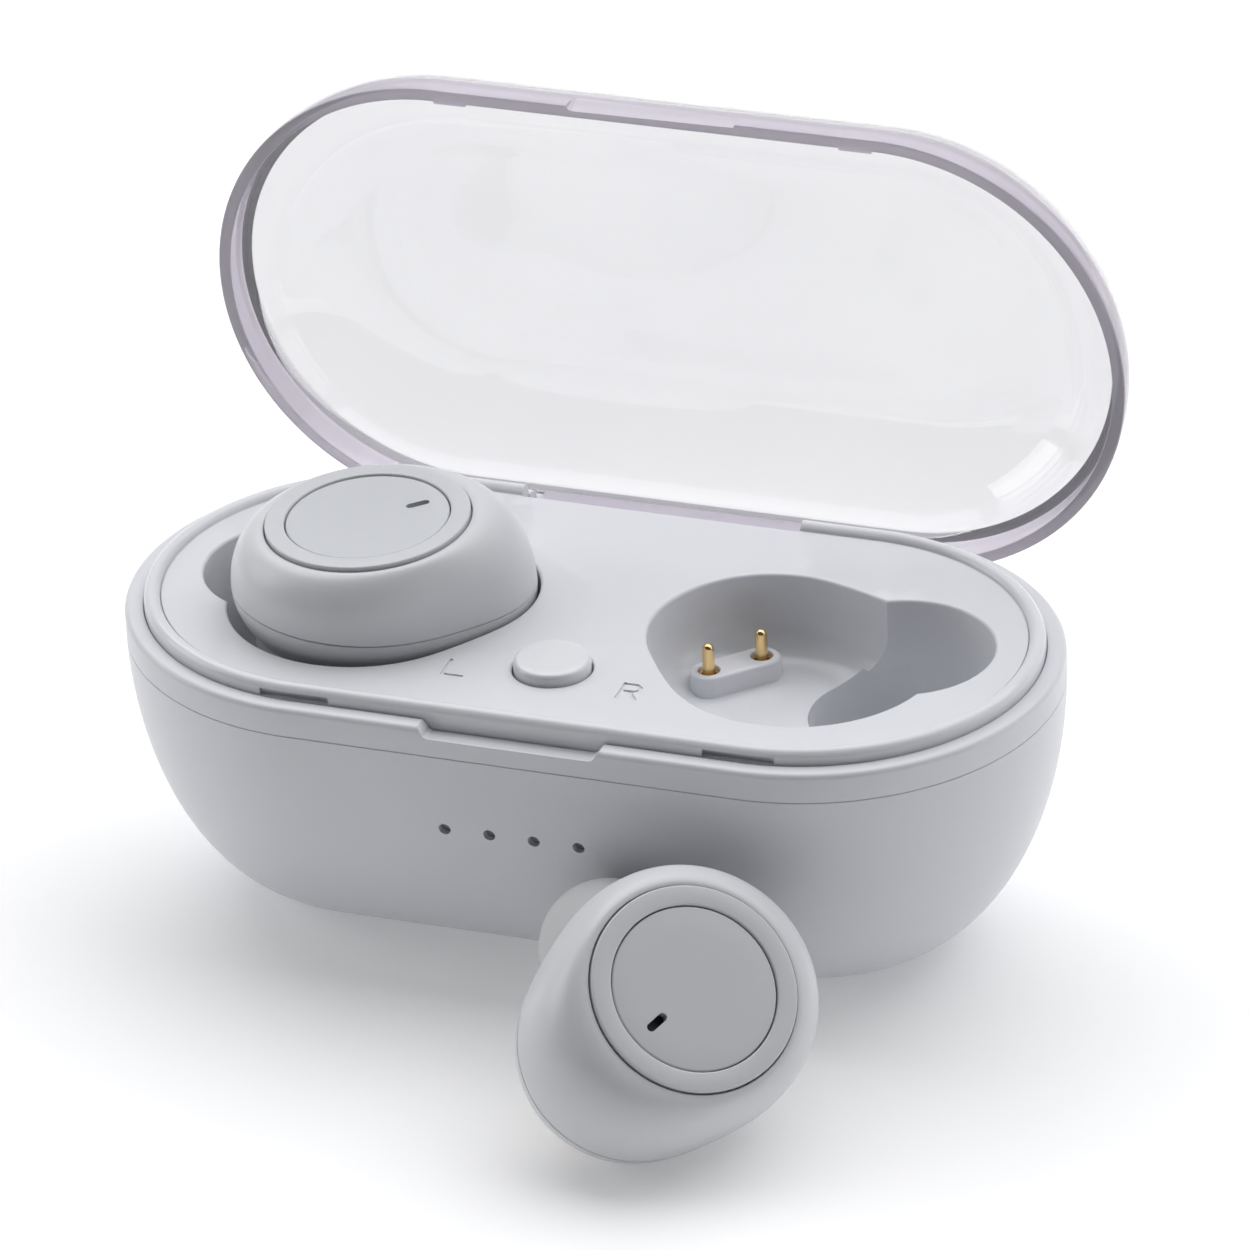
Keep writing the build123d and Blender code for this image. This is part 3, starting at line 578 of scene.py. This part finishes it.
def make_tray():
    """The deck with its lip, pockets, pin strips, catch windows and letters."""
    mid = (LIP_IN + LIP_OUT) / 2
    half = (LIP_OUT - LIP_IN) / 2
    profile = [(9.0, DECK_Z), (LIP_IN - 0.16, DECK_Z)]
    profile += arc_points((LIP_IN - 0.16, DECK_Z + 0.12), 0.12, -90, 0, 3)[1:]
    profile += arc_points((mid, LIP_TOP - half), half, 178, 0, 14)
    profile += [(LIP_OUT, 23.0), (LIP_OUT, SEAT_Z + 0.05), (LIP_OUT - 1.2, SEAT_Z + 0.05),
                (LIP_OUT - 1.2, DECK_Z - DECK_THICK), (9.0, DECK_Z - DECK_THICK)]
    tray = make_object("tray", rings_solid([stadium(r, z) for r, z in profile]), 1.0)
    walls = pocket_parts(1.2, -1.2, 0, DECK_Z - 0.4)
    combine(tray, [united(walls), united([w.moved(MIRROR) for w in walls])], "UNION")
    spaces = pocket_parts(0.0, 0.0, 0.28, DECK_Z + 2)
    combine(tray, [united(spaces), united([s.moved(MIRROR) for s in spaces])])
    rings = []
    for offset, z in [(0.25, 18.3), (0.08, 19.3), (0.0, 20.3)]:
        rings.append([(x, y, z) for x, y in slot_outline(2.4, 1.55 + offset)])
    for offset, z in arc_points((0.0, 20.3), 0.3, 0, 90, 5)[1:]:
        rings.append([(x, y, z) for x, y in slot_outline(2.4, 1.55 - 0.3 + offset)])
    pedestal = rings_solid(rings).moved(shift(*PEDESTAL, 0) @ rot("Z", 45))
    combine(tray, [pedestal, pedestal.moved(MIRROR)], "UNION")
    cuts = []
    pin_hole = revolved([(0.9, 16.0), (0.9, 20.5), (0.98, 20.62), (1.1, 20.8)], 48)
    for x, y in PINS:
        for side in (-1, 1):
            cuts.append(pin_hole.moved(shift(side * x, y, 0)))
    cuts.append(box(-12.1, 12.1, 17.15, 30, 10, 40))
    cuts.append(box(-14.5, 14.5, 15.85, 30, 10, DECK_Z - DECK_THICK + 0.05))
    for side in (-1, 1):
        x0, x1 = sorted((side * 15.75, side * 21.65))
        cuts.append(box(x0, x1, -22, -LIP_OUT + 0.55, LEDGE_Z, LEDGE_Z + 0.65))
    cuts.append(revolved([(3.3, 20.0), (3.3, DECK_Z - 0.12), (3.42, DECK_Z), (3.42, DECK_Z + 1)], 96)
                .moved(shift(0, BUTTON_Y, 0)))
    combine(tray, cuts + letter_bars())
    return finish_piece(tray, "case", ["inner_tray"], MATERIALS["tray_plastic"], 32.0, MM)


# ---------------------------------------------------------------- the lid
def make_lid():
    """The clear lid, shaped shut and then turned to where it stands open."""
    foot, curl, height, out = 8.35, 11.98, LID_HEIGHT, 20.33
    wall = LID_WALL
    profile = [(3.4, RIM_Z + height)]
    for i in range(44, -1, -1):
        c, s = polar(90 * i / 44)
        if height * s > 0.2:
            profile.append((foot + curl * c, RIM_Z + height * s))
    profile += arc_points((out - 0.14, RIM_Z + 0.14), 0.14, 0, -90, 4)
    profile += arc_points((out - wall + 0.1, RIM_Z + 0.1), 0.1, -90, -180, 4)
    step = LID_BAND
    profile += [(out - wall, RIM_Z + step - 0.15)]
    inner_h, inner_w = 9.6, 10.6
    start = math.degrees(math.asin((step + 0.05) / inner_h))
    for i in range(37):
        c, s = polar(start + (90 - start) * i / 36)
        profile.append((foot + inner_w * c, RIM_Z + inner_h * s))
    profile.append((3.4, RIM_Z + inner_h))
    lid = make_object("lid", rings_solid([stadium(r, z) for r, z in profile]), 1.0)
    arm = box(-11.75, 11.75, HINGE_Y - 1.35, HINGE_Y + 1.58, HINGE_Z, RIM_Z + 0.35)
    barrel = revolved([(1.6, -11.75), (1.6, 11.75)], 64).moved(shift(0, HINGE_Y, HINGE_Z) @ rot("Y", 90))
    pads = []
    inner = out - wall
    for side in (-1, 1):
        x0, x1 = sorted((side * 15.95, side * 18.7))
        pads.append(box(x0, x1, -inner - 0.1, -inner + 0.2, RIM_Z + 0.05, RIM_Z + 0.5))
    combine(lid, [arm, barrel] + pads, "UNION")
    bore = revolved([(0.8, -13.0), (0.8, 13.0)], 48).moved(shift(0, HINGE_Y, HINGE_Z) @ rot("Y", 90))
    scoop = []
    for i in range(13):
        c, s = polar(-90 + 15 * i)
        end = -6.8 if i < 7 else 6.8
        scoop.append(circle(max(5.0 * c, 0.02), end + 1.1 * s, 72))
    scoop = rings_solid(scoop).moved(shift(0, -END_R - 4.55, RIM_Z) @ rot("Y", 90))
    combine(lid, [bore, scoop])
    axis = shift(0, HINGE_Y, HINGE_Z) @ rot("X", -LID_OPEN) @ shift(0, -HINGE_Y, -HINGE_Z)
    lid.data.transform(axis)
    lid.visible_shadow = False
    return finish_piece(lid, "lid", ["lid_shell"], MATERIALS["clear_plastic"], 30.0, MM)


# ---------------------------------------------------------------- case button, pins, light guide
def make_case_button():
    """Round button with its flange and stem."""
    top = DECK_Z + 0.95
    profile = [(1.2, 19.3), (1.2, 23.7), (4.0, 23.75), (4.0, 24.5), (3.15, 24.5)]
    profile += arc_points((3.15 - 0.45, top - 0.45), 0.45, 0, 78, 7)
    profile += [(2.2, top + 0.01), (1.1, top + 0.03)]
    solid = revolved(profile, 96).moved(shift(0, BUTTON_Y, 0))
    return finish_piece(make_object("deck_button", solid), "button", ["case_button"],
                        MATERIALS["button_plastic"], 40.0)


def make_pins():
    """Spring pins and their barrels; the left pins are held down by the seated earbud."""
    for side, label in ((1, "right"), (-1, "left")):
        tip = 23.0 if side > 0 else 22.0
        for number, (x, y) in enumerate(PINS, 1):
            profile = [(0.5, tip - 4.2)] + arc_points((0.0, tip - 0.5), 0.5, 0, 84, 8)
            solid = revolved(profile, 40).moved(shift(side * x, y, 0))
            node = f"{label}_pogo_pin_{number}"
            finish_piece(make_object(f"{node}_tip", solid), f"{label}_pin_{number}", [node],
                         MATERIALS["contact_gold"])
    barrels = Solid()
    profile = [(0.55, 17.0), (0.87, 17.0), (0.87, 20.15), (0.8, 20.3), (0.62, 20.3), (0.55, 20.2)]
    tube = revolved(profile, 40, True)
    for side in (-1, 1):
        for x, y in PINS:
            barrels = barrels.joined(tube.moved(shift(side * x, y, 0)))
    finish_piece(make_object("pin_barrels", barrels), "case", ["pogo_barrels"],
                 MATERIALS["contact_gold"])


def make_springs():
    """Fine coils in the foot of each barrel."""
    coils = Solid()
    for side in (-1, 1):
        for x, y in PINS:
            rings = []
            steps = 96
            for i in range(steps + 1):
                c, s = polar(360 * 2.4 * i / steps)
                z = 17.05 + 0.3 * i / steps
                ring = []
                for k in range(8):
                    kc, ks = polar(45 * k)
                    r = 0.4 + 0.05 * kc
                    ring.append((side * x + r * c, y + r * s, z + 0.05 * ks))
                rings.append(ring)
            coils = coils.joined(rings_solid(rings))
    finish_piece(make_object("pin_springs", coils), "case", ["pogo_springs"], MATERIALS["steel"])


# ---------------------------------------------------------------- earbuds, right-hand frame
SEATED = shift(18.1, -2.2, 33.6) @ rot("Z", 142) @ rot("Y", -3.2)
LOOSE = shift(20.28, -35.09, 14.46) @ rot("Z", -43.5) @ rot("Y", 44.6) @ rot("Z", -67.2)


def blend(a, b, share):
    return a + (b - a) * share


def upper_ring(share, inset, drop=0.0):
    """Outline of the upper housing, from its face (0) to the parting line (1)."""
    c, s = polar(90 * share)
    down = 1 - c
    pts = egg_points(blend(0.0, -0.95, s), blend(8.65, 10.75, s) - inset, blend(0.05, 4.0, s),
                     blend(8.65, 9.25, s) - inset)
    w = blend(-0.35 - drop, PARTING_W, down)
    slope = math.tan(math.radians(PARTING_TILT * down))
    return [(x, y, w - slope * x) for x, y in pts]


def lower_ring(angle, inset, depth=6.0):
    """Outline of the lower housing, from the parting line (0) to its foot (90)."""
    c, s = polar(angle)
    pts = egg_points(blend(-1.2, -0.95, c), blend(3.0, 10.75, c) - inset, blend(2.6, 4.0, c),
                     blend(2.2, 9.25, c) - inset)
    w = PARTING_W - 0.03 - (depth - inset) * s / polar(80)[1]
    slope = math.tan(math.radians(PARTING_TILT))
    return [(x, y, w - slope * x) for x, y in pts]


def outer_housing():
    """Thin upper housing with the recess for the ring and the touch face."""
    steps = 30
    rings = [upper_ring(i / steps, 0.0) for i in range(1, steps + 1)]
    last = [(x * 0.992, y * 0.992, z) for x, y, z in rings[-1]]
    rings[-1] = [(x, y, z + 0.07) for x, y, z in rings[-1]]
    rings.append(last)
    rings += [upper_ring(i / 12, 1.0, 1.95) for i in range(12, -1, -1)]
    rings += [circle(r, z) for r, z in [(1.5, -2.35), (1.5, -1.35), (8.52, -1.35), (8.52, -0.44),
                                        (8.56, -0.37), (8.64, -0.345)]]
    return rings_solid(rings, True)


def inner_housing():
    """Lower housing, before the nozzle is added."""
    rings = [lower_ring(90 * i / 26, 1.0) for i in range(26, -1, -1)]
    rings += [[(x * 0.992, y * 0.992, z) for x, y, z in lower_ring(0, 0.0)]]
    rings += [lower_ring(0.6 + 89.4 * i / 34, 0.0) for i in range(35)]
    return rings_solid(rings)


def nozzle_matrix():
    """Frame at the ear tip, with Z out along the nozzle."""
    distance = math.hypot(TIP[0], TIP[1])
    c, s = polar(LEAN)
    z = Vector((TIP[0] / distance * s, TIP[1] / distance * s, -c))
    x = Vector((TIP[1] / distance, -TIP[0] / distance, 0))
    y = z.cross(x)
    m = Matrix((x, y, z)).transposed().to_4x4()
    return shift(*TIP) @ m


NOZZLE = nozzle_matrix()


def nozzle_solid():
    profile = smooth_loop([(5.3, -8.4), (4.9, -6.6), (3.7, -4.9), (2.75, -3.7), (2.25, -2.7)], 6, False)
    profile += [(2.2, -2.2), (2.2, 1.55), (2.58, 1.8), (2.6, 2.3), (2.45, 2.55), (1.6, 2.6)]
    return revolved(profile, 96).moved(NOZZLE)


def nozzle_bore():
    return revolved([(3.4, -9.5), (3.4, -5.4), (1.5, -3.5), (1.5, 3.2)], 72).moved(NOZZLE)


def tip_solid():
    """Soft ear tip: a skirt folded back over its sleeve."""
    outside = [(5.25, -3.62), (5.45, -3.78), (5.62, -3.6), (5.68, -2.6), (5.66, -1.5), (5.42, 0.2),
               (4.9, 1.6), (4.1, 2.75), (3.1, 3.55), (2.3, 3.82), (1.85, 3.72), (1.66, 3.3)]
    inside = [(1.7, 2.72), (2.3, 2.7), (2.64, 2.5), (2.64, 1.8), (2.3, 1.5), (2.24, 0.6),
              (2.24, -1.6), (2.3, -2.7), (2.75, -2.75), (3.05, -2.4), (3.1, -0.8), (3.3, 0.8),
              (3.75, 1.15), (4.4, 0.35), (4.95, -1.1), (5.18, -2.4)]
    return revolved(smooth_loop(outside + inside, 4), 120, True).moved(NOZZLE)


PADS = ((9.46, 1.88), (8.95, -2.88))


def disc_profile():
    profile = [(1.2, -2.55), (1.2, -1.0), (1.35, -0.95), (6.62, -0.95), (6.7, -0.87), (6.7, -0.3)]
    profile += arc_points((6.7 - 0.16, -0.28), 0.16, 0, 90, 5)
    profile += [(4.6, -0.115), (2.3, -0.11)]
    return profile


def ring_profile():
    profile = [(6.8, -1.3), (8.4, -1.3), (8.4, -0.16)]
    profile += arc_points((8.26, -0.14), 0.14, 0, 90, 4)
    profile += arc_points((6.94, -0.14), 0.14, 90, 180, 4)
    return profile


def mesh_disc():
    """Fine woven screen in the nozzle's mouth."""
    screen = Solid()
    for k in range(-6, 7):
        half = math.sqrt(max(0.05, 1.44 ** 2 - (0.22 * k) ** 2))
        wire = box(-half, half, 0.22 * k - 0.045, 0.22 * k + 0.045, 2.06, 2.12)
        screen = screen.joined(wire)
        cross = box(0.22 * k - 0.045, 0.22 * k + 0.045, -half, half, 2.13, 2.19)
        screen = screen.joined(cross)
    return screen.moved(NOZZLE)


def microphone_and_slot_shade():
    """Sensor can, with a dark plate that reaches up under the slot in the touch face as painted shade, so the
    slot reads black.
    """
    # Painted shade: a dark plate just under the slot, where the real hole is only in shade.
    slot_shade_plate = prism(slot_outline(0.75, 0.48), -1.36, -1.275).moved(shift(4.3, 0, 0))
    neck = revolved([(0.42, -3.5), (0.42, -1.3)], 32).moved(shift(4.6, 0, 0))
    can = rings_solid([[(4.6 + 1.3 * x, 0.9 * y, z) for x, y in ((-1, -1), (1, -1), (1, 1), (-1, 1))]
                       for z in (-4.4, -3.52)])
    return can.joined(neck).joined(slot_shade_plate)


def make_earbud(label, matrix):
    """All visible pieces of one earbud."""
    bud, touch = f"{label}_bud", f"{label}_touch"

    def put(name, solid, nodes, slot, body=bud, sharp=40.0, tools=()):
        obj = make_object(f"{bud}_{name}_piece", solid, 1.0)
        for operation, cutters in tools:
            combine(obj, cutters, operation)
        obj.data.transform(matrix)
        if matrix.to_3x3().determinant() < 0:
            obj.data.flip_normals()
        return finish_piece(obj, body, [f"{bud}_{n}" for n in nodes], MATERIALS[slot], sharp, MM)

    put("upper", outer_housing(), ["outer_housing"], "bud_plastic", sharp=50.0)
    recesses = []
    for u, v in PADS:
        recesses.append(revolved([(1.35, -14.0), (1.22, -12.3), (1.22, -11.55)], 48).moved(shift(u, v, 0)))
        recesses.append(revolved([(0.72, -14.0), (0.72, -10.0)], 32).moved(shift(u, v, 0)))
    put("lower", inner_housing(), ["inner_housing"], "bud_inner_plastic", sharp=45.0,
        tools=[("UNION", [nozzle_solid()]), ("DIFFERENCE", [nozzle_bore()] + recesses)])
    put("ring", revolved(ring_profile(), AROUND, True), ["face_ring"], "bud_ring", sharp=50.0)
    slot = prism(slot_outline(0.65, 0.35), -3, 1).moved(shift(4.3, 0, 0))
    put("disc", revolved(disc_profile()), ["face_button"], "bud_button", body=touch, sharp=50.0,
        tools=[("DIFFERENCE", [slot])])
    put("tip", tip_solid(), ["ear_tip"], "silicone", sharp=60.0)
    put("screen", mesh_disc(), ["nozzle_mesh"], "steel")
    # The mic piece carries the dark plate under the slot, which is painted shade.
    put("mic", microphone_and_slot_shade(), ["microphone"], "dark_plastic")


make_bowl()
make_tray()
make_lid()
make_case_button()
make_pins()
make_springs()
make_earbud("left", MIRROR @ SEATED)
make_earbud("right", LOOSE)

# soften the edges of the inner CAD nodes
for name, node in NODES.items():
    if not node.hide_render and name not in ("battery_leads", "contact_headers"):
        bevel = node.modifiers.new("edge", "BEVEL")
        bevel.width, bevel.segments, bevel.limit_method = 0.00006, 2, "ANGLE"


# ---------------------------------------------------------------- stage, lights, camera
def make_floor():
    """Plain pale paper."""
    floor = make_object("floor", Solid([(-1.5, -1.5, 0), (1.5, -1.5, 0), (1.5, 1.5, 0), (-1.5, 1.5, 0)],
                                       [(0, 1, 2, 3)]), 1.0)
    material, nodes, links, shader, place = base_material("floor_paper")
    cloud = noise(nodes, links, place, 3.0, 3.0)
    tone = ramp(nodes, links, cloud.outputs["Fac"], (0.88, 0.88, 0.885), (0.90, 0.90, 0.905))
    links.new(tone.outputs["Color"], shader.inputs["Base Color"])
    shader.inputs["Roughness"].default_value = 0.9
    shader.inputs["Emission Color"].default_value = (1, 1, 1, 1)
    shader.inputs["Emission Strength"].default_value = 0.18
    floor.data.materials.append(material)


def area_light(name, place, target, size, power, color=(1, 1, 1)):
    data = bpy.data.lights.new(name, "AREA")
    data.shape, data.size, data.size_y = "RECTANGLE", size[0], size[1]
    data.energy, data.color = power, color
    light = bpy.data.objects.new(name, data)
    light.location = place
    light.rotation_mode = "QUATERNION"
    light.rotation_quaternion = (Vector(target) - Vector(place)).to_track_quat("-Z", "Y")
    bpy.context.scene.collection.objects.link(light)


def make_camera():
    data = bpy.data.cameras.new("camera")
    data.lens, data.sensor_width = 258.83, 36.0
    data.clip_start, data.clip_end = 0.05, 20.0
    camera = bpy.data.objects.new("camera", data)
    back = Vector((0.30423, -0.81851, 0.48733)).normalized()
    right = Vector((0.94428, 0.32659, -0.04097))
    right = (right - back * right.dot(back)).normalized()
    up = back.cross(right)
    turn = Matrix((right, up, back)).transposed().to_4x4()
    camera.matrix_world = Matrix.Translation((0.22389, -0.59468, 0.37932)) @ turn
    bpy.context.scene.collection.objects.link(camera)
    bpy.context.scene.camera = camera


make_floor()
area_light("overhead", (0.0, 0.30, 0.75), (0, 0, 0), (1.6, 0.8), 8.0)
area_light("left_side", (-0.8, -0.1, 0.35), (0, 0, 0.02), (0.5, 0.5), 1.7)
area_light("right_side", (0.85, 0.12, 0.35), (0, 0, 0.02), (0.5, 0.5), 0.75)
make_camera()
world = bpy.data.worlds.new("studio")
world.use_nodes = True
sky = world.node_tree.nodes
around = sky.new("ShaderNodeTexCoord")
axes = sky.new("ShaderNodeSeparateXYZ")
world.node_tree.links.new(around.outputs["Generated"], axes.inputs["Vector"])
FRONT_LIGHT = (0.06, 0.061, 0.064)
BACK_LIGHT = (0.68, 0.685, 0.70)
back = ramp(sky, world.node_tree.links, axes.outputs["Y"], FRONT_LIGHT, BACK_LIGHT, 0.0, 0.5)
world.node_tree.links.new(back.outputs["Color"], sky["Background"].inputs["Color"])
bpy.context.scene.world = world
bpy.context.scene.view_settings.view_transform = "Standard"
bpy.context.scene.cycles.max_bounces = 32
bpy.context.scene.cycles.transmission_bounces = 32
